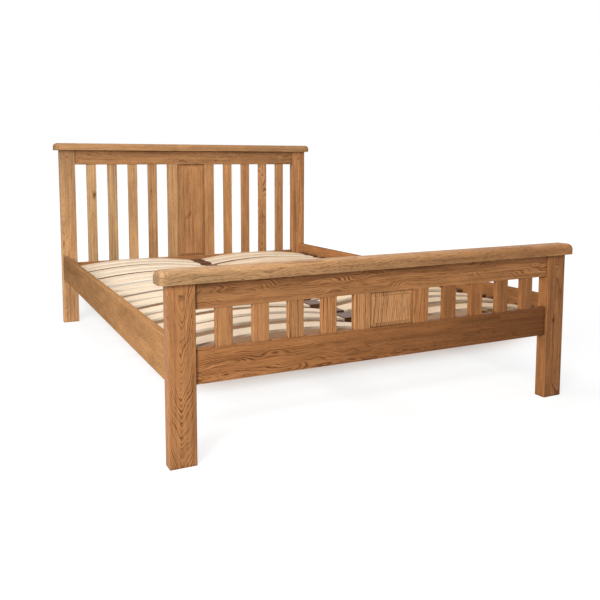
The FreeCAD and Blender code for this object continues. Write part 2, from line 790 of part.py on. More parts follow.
def make_centre_rail():
    """The rail under the inner ends of the slats."""
    rail = block("-centre_rail_width / 2", "centre_start_y + end_gap", "centre_rail_z", "centre_rail_width",
                 "centre_end_y - centre_start_y - 2 * end_gap", "centre_rail_height")
    cuts = [holder_peg("0", y, "fit_gap", "end_gap") for y in all_slat_ys()]
    cuts.append(leg_stud("fit_gap", "end_gap"))
    keep("centre_rail", carved(rail, cuts))


def make_leg():
    """The leg under the middle of the centre rail, its stud and its levelling foot."""
    leg = plank("-leg_width / 2", "centre_mid_y - leg_width / 2", "leg_z", "leg_width", "leg_width",
                "leg_height", "leg_edge_radius", along("z"))
    socket = rod("z", "0", "centre_mid_y", "leg_z - overrun", "foot_shank_radius + fit_gap",
                 "overrun + foot_shank_hold + foot_travel + end_gap")
    keep("centre_leg", carved(leg, [leg_stud("fit_gap", "end_gap"), socket]))
    keep("centre_leg_stud", leg_stud("0", "0"))
    pad = rod("z", "0", "centre_mid_y", "foot_floor_gap", "foot_pad_radius", "foot_pad_height")
    shank = rod("z", "0", "centre_mid_y", "foot_floor_gap", "foot_shank_radius",
                "shank_top_z - foot_floor_gap")
    keep("levelling_foot", joined([pad, shank]))


def make_board(board):
    """All the pieces of the footboard or the headboard."""
    for side in SIDES:
        make_post(board, side)
        make_slats(board, side)
        make_stile(board, side)
    for level in ("top", "bottom"):
        make_rail(board, level)
    make_cap(board)
    make_panel(board)


def make_bed():
    """Every sub-part of the bed."""
    fill_sheet("Sizes", {name: str(value) for name, value in SIZES.items()})
    fill_sheet("Places", {name: "=" + cells(formula, "Places") for name, formula in PLACES.items()})
    for board in BOARDS:
        make_board(board)
    pegs = [peg_block(board, side, "0", "peg_proud") for board, side in joint_corners()]
    keep("post_pegs", grouped(pegs))
    dowels = [dowel for board in BOARDS for dowel in cap_dowel_rods(board, "0", "0")]
    keep("cap_dowels", grouped(dowels))
    make_joint_hardware()
    for side in SIDES:
        make_side_rail(side)
        make_ledger(side)
        make_outer_holders(side)
    make_ledger_screws()
    make_centre_holders()
    for number in range(BOW_ROWS):
        make_bowed_slats(number)
    make_centre_rail()
    make_hangers()
    make_leg()
    doc.recompute()


def write_parts():
    """Check every object, then write one file for each sub-part."""
    failed = [thing.Label for thing in doc.Objects if {"Invalid", "Error"} & set(thing.State)]
    failed += [part.Label for part in subparts if part.Shape.isNull() or not part.Shape.isValid()]
    if failed:
        raise RuntimeError("failed: " + ", ".join(failed))
    os.makedirs("parts", exist_ok=True)
    for part in subparts:
        part.Shape.exportStep(f"parts/{part.Label}.step")
    print(len(subparts), "sub-parts")


make_bed()
write_parts()
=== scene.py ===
import json
import math
import random

import bpy
from mathutils import Color, Matrix, Vector


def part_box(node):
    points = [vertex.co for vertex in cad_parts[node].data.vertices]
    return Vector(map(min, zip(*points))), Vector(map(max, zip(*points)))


# A slatted oak bed on a white studio floor. Lengths are metres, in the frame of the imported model.

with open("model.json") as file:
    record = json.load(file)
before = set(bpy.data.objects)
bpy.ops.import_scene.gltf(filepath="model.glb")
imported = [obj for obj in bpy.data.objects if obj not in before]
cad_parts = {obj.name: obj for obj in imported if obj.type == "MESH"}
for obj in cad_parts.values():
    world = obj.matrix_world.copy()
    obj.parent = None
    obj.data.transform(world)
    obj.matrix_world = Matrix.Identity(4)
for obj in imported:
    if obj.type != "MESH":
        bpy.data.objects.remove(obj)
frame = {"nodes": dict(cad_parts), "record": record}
nodes = frame["nodes"]
slots = {part["node"]: part["material_slot"] for part in frame["record"]["subparts"]}
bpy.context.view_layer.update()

# Camera, fitted to the corners of the posts, rails and caps in the photograph
CAMERA_PLACE = Vector((-1.327, -2.859, 0.879))
CAMERA_YAW = 0.417
CAMERA_PITCH = -0.091
CAMERA_ROLL = -0.005
CAMERA_LENS = 39.52
CAMERA_SENSOR = 36
CAMERA_SHIFT = (0.0837, -0.1168)

# Light
KEY_PLACE = Vector((-3.5, -3.7, 2.0))
KEY_TARGET = Vector((-0.2, -0.3, 0.4))
KEY_SIZE = 2.2
KEY_POWER = 245
TOP_PLACE = Vector((-0.8, -0.5, 2.7))
TOP_TARGET = Vector((-0.1, 0.4, 0.4))
TOP_SIZE = 2.0
TOP_POWER = 64
SKY_STRENGTH = 0.26
BACKDROP_STRENGTH = 1.0
WHITE = (1, 1, 1, 1)

# Floor: what it sends back of bounced light and of light seen directly, and its own glow near and far
FLOOR_SIZE = 60
FLOOR_ALBEDO = 0.45
FLOOR_ALBEDO_SEEN = 0.3
FLOOR_GLOW_NEAR = 0.78
FLOOR_GLOW_FAR = 1.0
FLOOR_NEAR_RADIUS = 1.5
FLOOR_FAR_RADIUS = 4.5

# Deep shade under the bed and behind it: where each side goes from none to full
SHADE_LEFT = (-0.68, -0.3)
SHADE_RIGHT = (2.6, 1.9)
SHADE_FRONT = (-0.62, -0.12)
SHADE_BACK = (3.3, 1.2)
SHADE_GLOW = (0.165, 0.09, 0.045, 1)
SHADE_ALBEDO = (0.3, 0.205, 0.14, 1)
# Its right front corner leans away from the key lamp
SHADE_CORNER = (1.95, 1.5)
SHADE_LEAN = 1.15

# Places of the axes in a vector
AXIS = {"x": 0, "y": 1, "z": 2}

# The largest part of an 8-bit colour
BYTE_MAX = 255


def from_srgb(red, green, blue):
    """A linear colour, with alpha, from 8-bit sRGB."""
    colour = Color([value / BYTE_MAX for value in (red, green, blue)])
    return (*colour.from_srgb_to_scene_linear(), 1)


# Node helpers

# Sockets of a node that mixes colours
MIX_SHARE, MIX_FIRST, MIX_SECOND = 0, 6, 7
MIX_RESULT = 2


def is_socket(value):
    """True for another node's output."""
    return isinstance(value, bpy.types.NodeSocket)


def add(tree, kind, inputs=None, **settings):
    """A node with its settings and its inputs, each a value or another node's output."""
    made = tree.nodes.new(kind)
    for name, value in settings.items():
        setattr(made, name, value)
    for name, value in (inputs or {}).items():
        if is_socket(value):
            tree.links.new(value, made.inputs[name])
        else:
            made.inputs[name].default_value = value
    return made


def maths(tree, operation, *values):
    """The result of a maths node."""
    return add(tree, "ShaderNodeMath", dict(enumerate(values)), operation=operation).outputs[0]


def total(tree, *values):
    """The sum of several values."""
    result = values[0]
    for value in values[1:]:
        result = maths(tree, "ADD", result, value)
    return result


def product(tree, *values):
    """Several values multiplied."""
    result = values[0]
    for value in values[1:]:
        result = maths(tree, "MULTIPLY", result, value)
    return result


def less(tree, first, second):
    """One value less another."""
    return maths(tree, "SUBTRACT", first, second)


def squares(tree, *values):
    """The sum of the squares of several values."""
    return total(tree, *(product(tree, value, value) for value in values))


def vector_maths(tree, operation, *values):
    """The vector that a vector maths node gives."""
    return add(tree, "ShaderNodeVectorMath", dict(enumerate(values)), operation=operation).outputs["Vector"]


def vector_value(tree, operation, *values):
    """The number that a vector maths node gives."""
    return add(tree, "ShaderNodeVectorMath", dict(enumerate(values)), operation=operation).outputs["Value"]


def scaled(tree, vector, factor):
    """A vector or colour times a number."""
    node = add(tree, "ShaderNodeVectorMath", {0: vector, "Scale": factor}, operation="SCALE")
    return node.outputs["Vector"]


def combine(tree, x, y, z):
    """A vector from three values."""
    return add(tree, "ShaderNodeCombineXYZ", {"X": x, "Y": y, "Z": z}).outputs[0]


def grey(tree, value):
    """A colour with three equal parts."""
    return combine(tree, value, value, value)


def parts_of(tree, vector):
    """The three values of a vector."""
    return add(tree, "ShaderNodeSeparateXYZ", {"Vector": vector}).outputs


def remap(tree, value, low, high, to_low, to_high):
    """A value moved from one range to another and kept within it."""
    return add(tree, "ShaderNodeMapRange", {"Value": value, "From Min": low, "From Max": high,
                                            "To Min": to_low, "To Max": to_high}).outputs[0]


def eased(tree, value, start, end):
    """Zero before the start and one after the end, with a soft step between."""
    return add(tree, "ShaderNodeMapRange", {"Value": value, "From Min": start, "From Max": end},
               interpolation_type="SMOOTHERSTEP").outputs[0]


def mixed(tree, share, first, second):
    """Two colours mixed by a share, which is kept between zero and one."""
    return add(tree, "ShaderNodeMix", {MIX_SHARE: share, MIX_FIRST: first, MIX_SECOND: second},
               data_type="RGBA", clamp_factor=True).outputs[MIX_RESULT]


def object_place(tree):
    """The place of a point in the frame."""
    return add(tree, "ShaderNodeTexCoord").outputs["Object"]


def facing(tree):
    """The three parts of a face's direction."""
    return parts_of(tree, add(tree, "ShaderNodeNewGeometry").outputs["True Normal"])


# Noise, which mostly lies in a narrow range about its middle
NOISE_RANGE = (0.32, 0.68)
NOISE_MIDDLE = 0.5


def noise(tree, vector, stretch, detail=2):
    """Noise with the given number of cells to the metre along each axis."""
    cells = vector_maths(tree, "MULTIPLY", vector, stretch)
    return add(tree, "ShaderNodeTexNoise", {"Vector": cells, "Scale": 1, "Detail": detail})


def noise_value(tree, vector, stretch, detail=2):
    """Noise as one number."""
    return noise(tree, vector, stretch, detail).outputs[0]


def noise_colour(tree, vector, stretch, detail=2):
    """Noise as three numbers."""
    return noise(tree, vector, stretch, detail).outputs["Color"]


def swing(tree, value, low, high):
    """Noise spread over a range of its own."""
    return remap(tree, value, *NOISE_RANGE, low, high)


def bend(tree, place, cells, size, detail=2):
    """A noise vector about zero, of a given size."""
    about_zero = vector_maths(tree, "SUBTRACT", noise_colour(tree, place, cells, detail), (NOISE_MIDDLE,) * 3)
    return scaled(tree, about_zero, size)


def dots(tree, place, cells, limits):
    """One in the dots of a fine noise, zero between them."""
    return remap(tree, noise_value(tree, place, cells, detail=0), *limits, 0, 1)


# Camera and stage

def make_camera():
    """A camera at the photograph's place, with its lens and framing."""
    data = bpy.data.cameras.new("photo_camera")
    data.sensor_width = CAMERA_SENSOR
    data.lens = CAMERA_LENS
    data.shift_x, data.shift_y = CAMERA_SHIFT
    camera = bpy.data.objects.new("photo_camera", data)
    level = Matrix.Rotation(math.pi / 2 + CAMERA_PITCH, 4, "X")
    turned = Matrix.Rotation(-CAMERA_YAW, 4, "Z") @ level @ Matrix.Rotation(CAMERA_ROLL, 4, "Z")
    camera.matrix_world = Matrix.Translation(CAMERA_PLACE) @ turned
    bpy.context.scene.collection.objects.link(camera)
    bpy.context.scene.camera = camera


def seen_directly(tree):
    """One on rays from the camera, mirrors and glass, and zero on light that bounces."""
    path = tree.nodes.new("ShaderNodeLightPath")
    mirror = maths(tree, "MAXIMUM", path.outputs["Is Glossy Ray"], path.outputs["Is Transmission Ray"])
    return maths(tree, "MAXIMUM", path.outputs["Is Camera Ray"], mirror)


def make_world():
    """Soft even light all round, seen as a white backdrop."""
    world = bpy.data.worlds.new("studio")
    bpy.context.scene.world = world
    world.use_nodes = True
    tree = world.node_tree
    strength = remap(tree, seen_directly(tree), 0, 1, SKY_STRENGTH, BACKDROP_STRENGTH)
    tree.links.new(strength, tree.nodes["Background"].inputs["Strength"])
    tree.nodes["Background"].inputs["Color"].default_value = WHITE


def bed_shade(tree, place):
    """One in the deep shade of the bed, fading to zero at its sides."""
    x, y, _ = parts_of(tree, place)
    leaning = less(tree, x, product(tree, y, SHADE_LEAN))
    return product(tree, eased(tree, x, *SHADE_LEFT), eased(tree, x, *SHADE_RIGHT),
                   eased(tree, y, *SHADE_FRONT), eased(tree, y, *SHADE_BACK),
                   eased(tree, leaning, *SHADE_CORNER))


def floor_material():
    """Matt white that keeps a shadow, glows towards the backdrop, and is dark in the shade of the bed."""
    material = bpy.data.materials.new("floor")
    material.use_nodes = True
    tree = material.node_tree
    tree.nodes.clear()
    direct = seen_directly(tree)
    place = object_place(tree)
    shade = bed_shade(tree, place)
    albedo = remap(tree, direct, 0, 1, FLOOR_ALBEDO, FLOOR_ALBEDO_SEEN)
    paint = mixed(tree, product(tree, shade, direct), grey(tree, albedo), SHADE_ALBEDO)
    matt = add(tree, "ShaderNodeBsdfDiffuse", {"Color": paint})
    radius = vector_value(tree, "LENGTH", place)
    glow = remap(tree, radius, FLOOR_NEAR_RADIUS, FLOOR_FAR_RADIUS, FLOOR_GLOW_NEAR, FLOOR_GLOW_FAR)
    colour = mixed(tree, shade, grey(tree, glow), SHADE_GLOW)
    shine = add(tree, "ShaderNodeEmission", {"Color": colour, "Strength": direct})
    both = add(tree, "ShaderNodeAddShader", {0: matt.outputs[0], 1: shine.outputs[0]})
    add(tree, "ShaderNodeOutputMaterial", {"Surface": both.outputs[0]})
    return material


def make_floor():
    """A wide square floor at height zero."""
    mesh = bpy.data.meshes.new("floor")
    half = FLOOR_SIZE / 2
    corners = [(-half, -half, 0), (half, -half, 0), (half, half, 0), (-half, half, 0)]
    mesh.from_pydata(corners, [], [range(len(corners))])
    mesh.materials.append(floor_material())
    floor = bpy.data.objects.new("floor", mesh)
    bpy.context.scene.collection.objects.link(floor)


def make_lamp(name, place, target, size, power):
    """A large soft round lamp that points at a target."""
    data = bpy.data.lights.new(name, "AREA")
    data.shape = "DISK"
    data.size = size
    data.energy = power
    lamp = bpy.data.objects.new(name, data)
    lamp.location = place
    lamp.rotation_euler = (target - place).to_track_quat("-Z", "Y").to_euler()
    bpy.context.scene.collection.objects.link(lamp)


# Surfaces in general

BUMP_DEPTH = 0.0005
# Painted shade in corners and joints
CREVICE_REACH = 0.011
CREVICE_RANGE = (0.4, 0.9)
CREVICE_SHADE = 0.52
CREVICE_SAMPLES = 6
# Painted highlight along rounded edges
EDGE_RADIUS = 0.004
EDGE_RANGE = (0.985, 0.85)
EDGE_LIFT = 1.25
EDGE_SAMPLES = 4


def painted_crevice_shade(tree):
    """One in the open, less in corners and joints, as painted shade."""
    occlusion = add(tree, "ShaderNodeAmbientOcclusion", {"Distance": CREVICE_REACH}, samples=CREVICE_SAMPLES)
    return remap(tree, occlusion.outputs["AO"], *CREVICE_RANGE, CREVICE_SHADE, 1)


def painted_edge_highlight(tree):
    """One on flat faces, more along rounded edges: a painted highlight."""
    soft = add(tree, "ShaderNodeBevel", {"Radius": EDGE_RADIUS}, samples=EDGE_SAMPLES).outputs[0]
    true = add(tree, "ShaderNodeNewGeometry").outputs["Normal"]
    return remap(tree, vector_value(tree, "DOT_PRODUCT", soft, true), *EDGE_RANGE, 1, EDGE_LIFT)


def new_material(name):
    """A material with nodes."""
    material = bpy.data.materials.new(name)
    material.use_nodes = True
    return material


def surface(tree, colour, roughness, height, bump, sheen):
    """A shader with a colour, a roughness and a relief."""
    shader = tree.nodes["Principled BSDF"]
    relief = add(tree, "ShaderNodeBump", {"Height": height, "Strength": bump, "Distance": BUMP_DEPTH})
    tree.links.new(colour, shader.inputs["Base Color"])
    tree.links.new(roughness, shader.inputs["Roughness"])
    tree.links.new(relief.outputs[0], shader.inputs["Normal"])
    shader.inputs["Specular IOR Level"].default_value = sheen
    return shader


def dress(node, material):
    """Give a node its finish."""
    nodes[node].data.materials.clear()
    nodes[node].data.materials.append(material)


# Solid wood

# Cells to the metre along the board, across it and through it
WARP_CELLS = (1.6, 9, 9)
RIPPLE_CELLS = (10, 34, 34)
BLOTCH_CELLS = (1.6, 9, 9)
MOTTLE_CELLS = (9, 30, 30)
STREAK_CELLS = (2.5, 110, 110)
FIBRE_CELLS = (12, 700, 700)
BREAK_CELLS = (14, 170, 170)
FLECK_CELLS = (70, 420, 420)
PORE_CELLS = (45, 1000, 1000)

# How far the grain jumps from board to board and from stave to stave
SEED_STEP = (3.7, 1.9, 2.3)
CELL_JUMP = (9.0, 4.0, 4.0)
LAYER_STAGGER = 0.21
LAYER_SEED = 7
HALF_CELL = 0.5

# Growth rings
RING_FADE = 3
RING_LUCK = (0.1, 1)
BREAK_RANGE = (0.5, 1.35)
LINES_PER_RING = 2.6
LINE_RANGE = (-0.16, 0.2)
FIGURE_RANGE = (0.45, 1.35)
LEAN_FLOOR = 0.1
KNOT_STRETCH = 1.8
KNOT_PUSH = 0.9
NEARLY_ZERO = 1e-9

# Darkness that the other marks add
BASE_SHADE = 0.1
STREAK_RANGE = (-0.14, 0.2)
FIBRE_RANGE = (-0.11, 0.11)
FLECK_RANGE = (0.54, 0.68)
PORE_RANGE = (0.58, 0.66)
PORE_SHADE = 0.6
PORE_RING_RANGE = (0, 0.6)
PORE_RING_SHARES = (0.3, 1)

# Tone of patches and faces
BLOTCH_RANGE = (0.88, 1.08)
MOTTLE_RANGE = (0.9, 1.09)
END_RANGE = (0.6, 0.95)
END_SHADE = 0.72
UPPER_RANGE = (0.6, 0.95)

# Gloss and relief
ROUGHNESS = 0.46
RING_ROUGHNESS = 0.15
STREAK_ROUGHNESS = (-0.05, 0.05)
RING_RELIEF = 0.4
PORE_RELIEF = 0.6
WOOD_BUMP = 0.25
WOOD_SHEEN = 0.1
SIDE_SHEEN = 0.0

# Settings of a board, with what it has where no other is given
WOOD_INPUTS = {
    "seed": 0.0,
    # The pith line: its slope along the board, its place across and below it, and how it strays and waves
    "tilt": 0.05,
    "across": 0.0,
    "depth": 0.05,
    "stray": 0.05,
    "wave": 0.03,
    "ripple": 0.004,
    # Rings: how they close up along the board, their width, and how boldly they are drawn and where
    "taper": 0.0,
    "ring": 0.0032,
    "figure": 0.6,
    "lean_u": 0.0,
    "lean_v": 0.0,
    # Strength of the other marks
    "streak": 1.0,
    "pore": 1.0,
    "fleck": 0.06,
    # Glued staves: how far their tones spread, their sizes and how they are laid
    "spread": 0.05,
    "stave_width": 10.0,
    "stave_shift": 0.5,
    "stave_length": 10.0,
    "stave_start": 0.0,
    "stave_stagger": 0.37,
    "layer_depth": 10.0,
    "layer_shift": 0.5,
    # One knot
    "knot_u": 0.0,
    "knot_v": 0.0,
    "knot_w": 0.0,
    "knot_size": 0.0,
    "knot_shade": 0.95,
    # End grain, and painted shade on upper faces
    "end": 0.0,
    "upper": 0.0,
    "painted_top_shade": 1.0,
}


def cell_number(tree, value, size, shift):
    """The number of the strip of a given width that a value falls in."""
    return maths(tree, "FLOOR", total(tree, maths(tree, "DIVIDE", value, size), shift))


def from_middle(tree, value, number, size, shift):
    """A value measured from the middle of its own strip."""
    middle = less(tree, total(tree, number, HALF_CELL), shift)
    return less(tree, value, product(tree, middle, size))


def stave_cell(tree, given, along, across, through):
    """The stave of a glued-up board that a point is in: random values for it and places within it."""
    row = cell_number(tree, across, given["stave_width"], given["stave_shift"])
    layer = cell_number(tree, through, given["layer_depth"], given["layer_shift"])
    stagger = total(tree, product(tree, row, given["stave_stagger"]), product(tree, layer, LAYER_STAGGER),
                    given["stave_start"], HALF_CELL)
    column = cell_number(tree, along, given["stave_length"], stagger)
    cell = combine(tree, total(tree, row, product(tree, layer, LAYER_SEED)), column, given["seed"])
    luck = add(tree, "ShaderNodeTexWhiteNoise", {"Vector": cell}, noise_dimensions="3D").outputs["Color"]
    across_in = from_middle(tree, across, row, given["stave_width"], given["stave_shift"])
    through_in = from_middle(tree, through, layer, given["layer_depth"], given["layer_shift"])
    return luck, across_in, through_in


def grain_place(tree, given, luck, inside):
    """A place in the grain, which is another one in each stave and each board."""
    jump = vector_maths(tree, "MULTIPLY", luck, CELL_JUMP)
    own = scaled(tree, SEED_STEP, given["seed"])
    return vector_maths(tree, "ADD", inside, vector_maths(tree, "ADD", jump, own))


def knot_field(tree, given, along, across, through):
    """One at the heart of a knot, falling to zero round it."""
    off_u = maths(tree, "DIVIDE", less(tree, along, given["knot_u"]), KNOT_STRETCH)
    off_v = less(tree, across, given["knot_v"])
    off_w = less(tree, through, given["knot_w"])
    size = product(tree, given["knot_size"], given["knot_size"])
    return maths(tree, "DIVIDE", size, total(tree, squares(tree, off_u, off_v, off_w), size, NEARLY_ZERO))


def ring_count(tree, given, inside, place, lean, knot):
    """Growth rings, counted out from the pith."""
    u, v, w = inside
    warp = bend(tree, place, WARP_CELLS, given["wave"])
    ripple = bend(tree, place, RIPPLE_CELLS, given["ripple"], detail=0)
    bend_v, bend_w, _ = parts_of(tree, vector_maths(tree, "ADD", warp, ripple))
    aside = product(tree, less(tree, lean, NOISE_MIDDLE), given["stray"])
    push = product(tree, knot, given["knot_size"], KNOT_PUSH)
    from_pith_v = total(tree, v, given["across"], aside, bend_v)
    from_pith_w = total(tree, w, given["depth"], product(tree, given["tilt"], u), bend_w, push)
    reach = maths(tree, "SQRT", squares(tree, from_pith_v, from_pith_w))
    return maths(tree, "DIVIDE", total(tree, reach, product(tree, given["taper"], u)), given["ring"])


def ring_lines(tree, given, place, ring):
    """The dark early wood at the start of each ring, and the finer lines in it."""
    count = total(tree, maths(tree, "FLOOR", ring), given["seed"])
    luck = add(tree, "ShaderNodeTexWhiteNoise", {"W": count}, noise_dimensions="1D").outputs["Value"]
    fade = maths(tree, "POWER", less(tree, 1, maths(tree, "FRACT", ring)), RING_FADE)
    broken = swing(tree, noise_value(tree, place, BREAK_CELLS, detail=1), *BREAK_RANGE)
    early = product(tree, fade, broken, remap(tree, luck, 0, 1, *RING_LUCK))
    count_of_lines = product(tree, ring, LINES_PER_RING)
    lines = add(tree, "ShaderNodeTexNoise", {"W": count_of_lines, "Scale": 1, "Detail": 1},
                noise_dimensions="1D").outputs[0]
    return early, swing(tree, lines, *LINE_RANGE)


def figure_strength(tree, given, u, v, luck):
    """How boldly the rings are drawn at a place on the board."""
    lean = total(tree, 1, product(tree, given["lean_u"], u), product(tree, given["lean_v"], v))
    return product(tree, given["figure"], maths(tree, "MAXIMUM", lean, LEAN_FLOOR),
                   swing(tree, luck, *FIGURE_RANGE))


def stave_tone(tree, given, luck):
    """A stave's own tone, within the spread on either side of one."""
    return total(tree, 1, product(tree, less(tree, luck, NOISE_MIDDLE), given["spread"], 2))


def face_tone(tree, given):
    """Darker on end grain, painted shade on upper faces and in corners, and a painted highlight along edges.
    """
    end = remap(tree, given["end"], *END_RANGE, 1, END_SHADE)
    upper = remap(tree, given["upper"], *UPPER_RANGE, 1, given["painted_top_shade"])
    return product(tree, end, upper, painted_crevice_shade(tree), painted_edge_highlight(tree))


def add_wood_sockets(tree):
    """What goes into the wood group and what comes out."""
    ports = tree.interface
    ports.new_socket("board", in_out="INPUT", socket_type="NodeSocketVector")
    for name, value in WOOD_INPUTS.items():
        ports.new_socket(name, in_out="INPUT", socket_type="NodeSocketFloat").default_value = value
    for name in ("light", "dark"):
        ports.new_socket(name, in_out="INPUT", socket_type="NodeSocketColor")
    ports.new_socket("colour", in_out="OUTPUT", socket_type="NodeSocketColor")
    for name in ("roughness", "height"):
        ports.new_socket(name, in_out="OUTPUT", socket_type="NodeSocketFloat")


def make_wood_group():
    """Wood as a solid: growth rings round a pith line that leans through the board, and their marks."""
    tree = bpy.data.node_groups.new("solid_wood", "ShaderNodeTree")
    add_wood_sockets(tree)
    given = tree.nodes.new("NodeGroupInput").outputs
    u, v, w = parts_of(tree, given["board"])
    luck, v_in, w_in = stave_cell(tree, given, u, v, w)
    _, lean, tone = parts_of(tree, luck)
    place = grain_place(tree, given, luck, combine(tree, u, v_in, w_in))
    knot = knot_field(tree, given, u, v, w)
    ring = ring_count(tree, given, (u, v_in, w_in), place, lean, knot)
    early, lines = ring_lines(tree, given, place, ring)

    patch, strength, _ = parts_of(tree, noise_colour(tree, place, BLOTCH_CELLS))
    mottle = noise_value(tree, place, MOTTLE_CELLS, detail=1)
    streak = noise_value(tree, place, STREAK_CELLS)
    fibre = noise_value(tree, place, FIBRE_CELLS)
    pores = product(tree, dots(tree, place, PORE_CELLS, PORE_RANGE), given["pore"],
                    remap(tree, early, *PORE_RING_RANGE, *PORE_RING_SHARES))
    flecks = product(tree, dots(tree, place, FLECK_CELLS, FLECK_RANGE), given["fleck"])
    rings = product(tree, total(tree, early, lines), figure_strength(tree, given, u, v, strength))
    streaks = product(tree, swing(tree, streak, *STREAK_RANGE), given["streak"])
    darkness = total(tree, BASE_SHADE, rings, streaks, swing(tree, fibre, *FIBRE_RANGE),
                     product(tree, pores, PORE_SHADE), flecks, product(tree, knot, knot, given["knot_shade"]))
    level = product(tree, stave_tone(tree, given, tone), swing(tree, patch, *BLOTCH_RANGE),
                    swing(tree, mottle, *MOTTLE_RANGE), face_tone(tree, given))

    colour = scaled(tree, mixed(tree, darkness, given["light"], given["dark"]), level)
    roughness = total(tree, ROUGHNESS, product(tree, early, RING_ROUGHNESS),
                      swing(tree, streak, *STREAK_ROUGHNESS))
    hollow = total(tree, product(tree, early, RING_RELIEF), product(tree, pores, PORE_RELIEF))
    add(tree, "NodeGroupOutput", {"colour": colour, "roughness": roughness, "height": less(tree, 1, hollow)})


# Light and dark parts of the grain
TIMBERS = {
    "oak": (from_srgb(173, 122, 78), from_srgb(88, 47, 20)),
    "pine": (from_srgb(200, 168, 122), from_srgb(155, 103, 54)),
    "beech": (from_srgb(191, 152, 113), from_srgb(148, 98, 63)),
}
PLAIN_SHADE = (1, 0)


def tinted(colour, tone, warmth):
    """A colour made lighter or darker, and warmer or cooler."""
    red, green, blue, alpha = colour
    return (red * tone, green * tone * (1 - warmth), blue * tone * (1 - 2 * warmth), alpha)


def board_place(tree, node, axes):
    """Coordinates from a board's middle, along its length, across its width and through its depth."""
    low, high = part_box(node)
    middle = (low + high) / 2
    local = parts_of(tree, vector_maths(tree, "SUBTRACT", object_place(tree), tuple(middle)))
    return combine(tree, *(local[AXIS[axis]] for axis in axes))


def shaded_along(tree, node, axes, place, colour, shades):
    """A board's colour, running from the shade of one end to the shade of the other."""
    low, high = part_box(node)
    half = (high - low)[AXIS[axes[0]]] / 2
    share = remap(tree, parts_of(tree, place)[0], -half, half, 0, 1)
    return mixed(tree, share, *(tinted(colour, *shade) for shade in shades))


def timber(node, kind, axes, settings, shades, sheen=WOOD_SHEEN):
    """Wood for one board."""
    material = new_material(f"{kind}_{node}")
    tree = material.node_tree
    place = board_place(tree, node, axes)
    light, dark = (shaded_along(tree, node, axes, place, colour, shades) for colour in TIMBERS[kind])
    end = maths(tree, "ABSOLUTE", facing(tree)[AXIS[axes[0]]])
    # How much a face looks up, for the painted shade on upper faces
    upper = facing(tree)[AXIS["z"]]
    wood = add(tree, "ShaderNodeGroup", node_tree=bpy.data.node_groups["solid_wood"])
    for name, value in {"board": place, "light": light, "dark": dark, "end": end, "upper": upper}.items():
        tree.links.new(value, wood.inputs[name])
    for name, value in settings.items():
        wood.inputs[name].default_value = value
    surface(tree, *(wood.outputs[name] for name in ("colour", "roughness", "height")), WOOD_BUMP, sheen)
    return material


# Oak boards

# Axes along, across and through each kind of board, and its figure
BOARD_KINDS = {
    "pegs": ("xyz", {"depth": 0.02}),
    "post": ("zxy", {"tilt": -0.02, "depth": 0.05, "ring": 0.0024, "stray": 0.04, "figure": 0.7,
                     "layer_depth": 0.0225, "layer_shift": 0.0}),
    "cap": ("xyz", {"tilt": -0.06, "depth": 0.05, "wave": 0.05, "figure": 0.5, "stave_width": 0.041,
                    "stave_shift": 0.0, "stave_length": 0.7}),
    "top_rail": ("xzy", {"tilt": 0.06, "depth": 0.035, "wave": 0.06, "figure": 0.7, "stave_width": 0.041,
                         "stave_shift": 0.0, "stave_length": 0.6}),
    "bottom_rail": ("xzy", {"tilt": 0.05, "depth": 0.05, "wave": 0.04, "figure": 0.7, "stave_width": 0.054,
                            "stave_shift": 0.0, "stave_length": 0.55, "spread": 0.08}),
    # Side rails get a painted shade on their upper faces
    "side_rail": ("yzx", {"tilt": 0.03, "depth": 0.06, "wave": 0.04, "figure": 0.15, "streak": 0.4,
                          "stave_width": 0.069, "stave_shift": 0.0, "stave_length": 0.7,
                          "painted_top_shade": 0.76}),
    "stile": ("zxy", {"tilt": 0.015, "depth": 0.03, "across": 0.04, "figure": 0.6, "wave": 0.02}),
    "panel": ("zxy", {"tilt": 0.08, "depth": 0.05, "wave": 0.04, "figure": 0.3, "streak": 0.8,
                      "ring": 0.006}),
    "slat": ("zxy", {"tilt": 0.02, "depth": 0.03, "figure": 0.4, "wave": 0.02}),
    "leg": ("zxy", {}),
}

# Tone and warmth of boards that are alike from end to end
SHADES = {
    "footboard_post_left": (1.09, 0.02),
    "footboard_post_right": (0.98, 0.075),
    "footboard_panel": (1.47, -0.08),
    "footboard_panel_stile_left": (1.25, -0.03),
    "footboard_panel_stile_right": (1.28, 0.06),
    "footboard_slat_left_1": (1.05, 0.0),
    "footboard_slat_left_2": (1.24, -0.01),
    "footboard_slat_left_3": (1.15, -0.03),
    "footboard_slat_left_4": (1.42, 0.02),
    "footboard_slat_right_1": (0.94, 0.09),
    "footboard_slat_right_2": (0.95, 0.09),
    "footboard_slat_right_3": (0.95, 0.1),
    "footboard_slat_right_4": (0.92, 0.11),
    "headboard_cap": (0.96, -0.155),
    "headboard_top_rail": (0.86, -0.08),
    "headboard_post_right": (1.26, -0.03),
    "headboard_panel": (0.96, -0.05),
    "headboard_panel_stile_left": (1.07, -0.2),
    "headboard_panel_stile_right": (1.16, -0.1),
    "headboard_slat_left_1": (1.15, -0.3),
    "headboard_slat_left_2": (1.06, -0.31),
    "headboard_slat_left_3": (1.2, -0.23),
    "headboard_slat_left_4": (0.93, -0.16),
    "headboard_slat_right_1": (1.05, -0.07),
    "headboard_slat_right_2": (1.32, -0.11),
    "headboard_slat_right_3": (0.99, -0.075),
    "headboard_slat_right_4": (1.1, -0.06),
}

